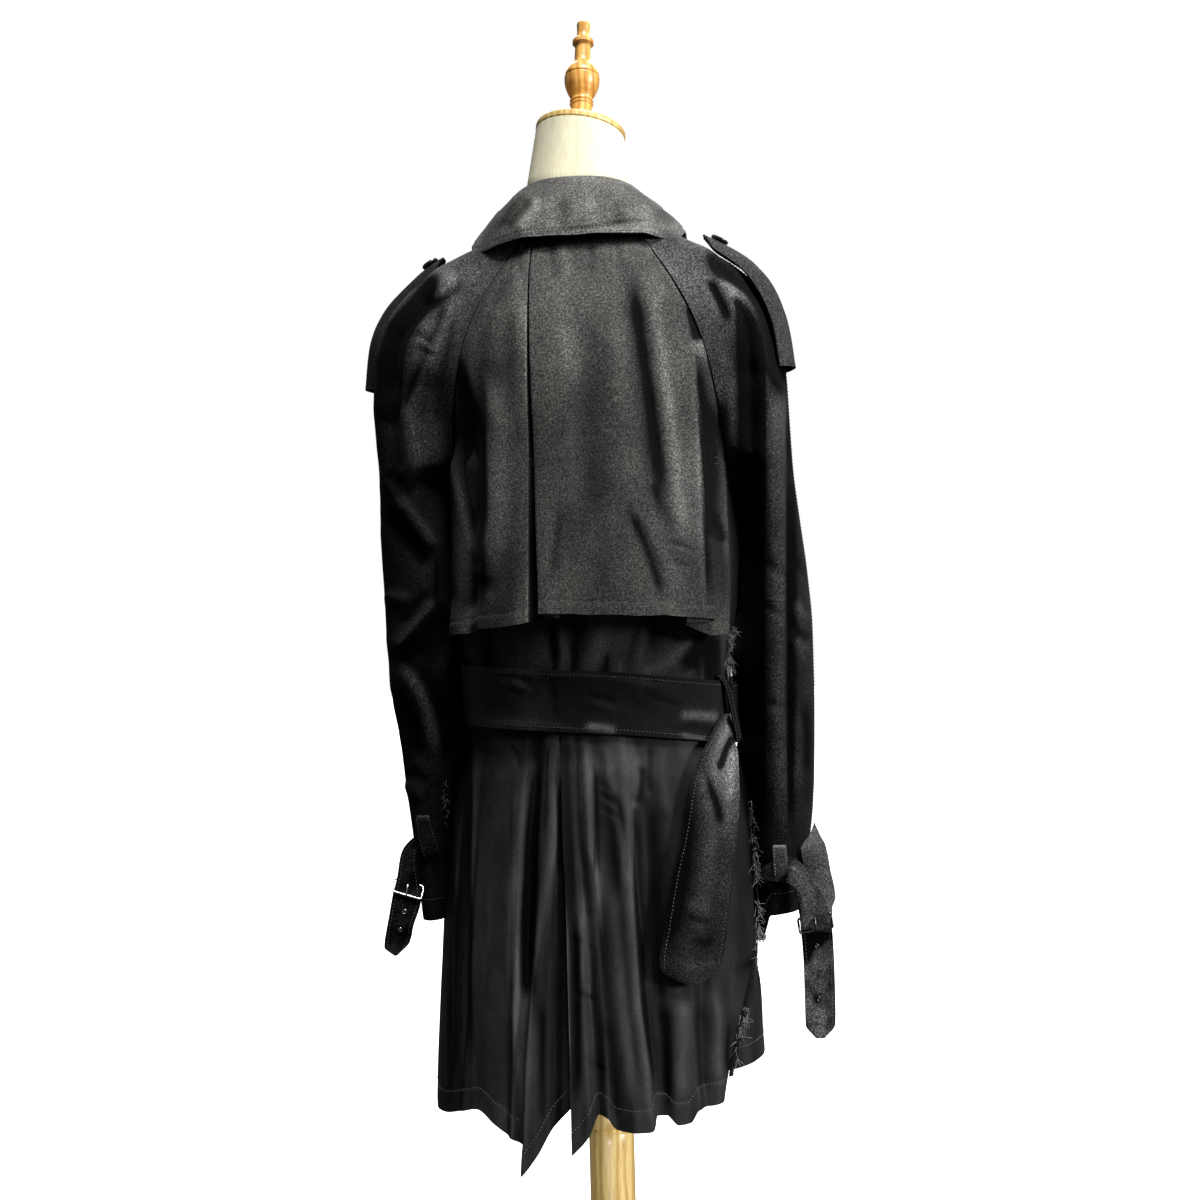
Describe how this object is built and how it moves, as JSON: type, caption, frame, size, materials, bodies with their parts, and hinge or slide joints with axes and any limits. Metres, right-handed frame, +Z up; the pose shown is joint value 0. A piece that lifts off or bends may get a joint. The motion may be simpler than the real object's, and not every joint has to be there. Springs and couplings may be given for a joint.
{
  "type": "trench coat on a dress form",
  "caption": "Double-breasted trench coat with back cape, belt, cuff straps and slit skirt, worn on a limbless dress form with a turned finial, post and round foot.",
  "frame": {"origin": "centre of the underside of the stand's round foot, on the floor", "axes": "+Z up, -Y the way the coat's front faces, +X the wearer's left"},
  "size_m": [0.5011, 0.38, 1.6459],
  "materials": {
    "gabardine": "matte",
    "satin": "satin",
    "linen": "matte",
    "wood": "satin",
    "horn": "gloss",
    "metal": "gloss"
  },
  "bodies": {
    "root": {"back_body": "gabardine", "belt": "gabardine", "belt_loop_left": "gabardine", "belt_loop_right": "gabardine", "belt_tail": "gabardine", "button_left_1": "horn", "button_left_2": "horn", "button_left_3": "horn", "button_right_1": "horn", "button_right_2": "horn", "button_right_3": "horn", "cape_back": "gabardine", "collar_fall": "gabardine", "collar_stand": "gabardine", "cuff_buckle_left": "metal", "cuff_buckle_right": "metal", "cuff_keeper_left": "gabardine", "cuff_keeper_right": "gabardine", "cuff_strap_left": "gabardine", "cuff_strap_right": "gabardine", "cuff_strap_right_end": "gabardine", "epaulette_button_left": "horn", "epaulette_button_right": "horn", "epaulette_left": "gabardine", "epaulette_right": "gabardine", "finial": "wood", "foot": "wood", "form_body": "linen", "frayed_edge_side": "gabardine", "frayed_edge_skirt": "gabardine", "front_left": "gabardine", "front_right": "gabardine", "lapel_left": "gabardine", "lapel_right": "gabardine", "neck_cap": "wood", "post": "wood", "skirt_back_left": "satin", "skirt_back_right": "satin", "skirt_front_left": "satin", "skirt_front_right": "satin", "sleeve_left_back": "gabardine", "sleeve_left_front": "gabardine", "sleeve_right_back": "gabardine", "sleeve_right_front": "gabardine"}
  },
  "joints": []
}
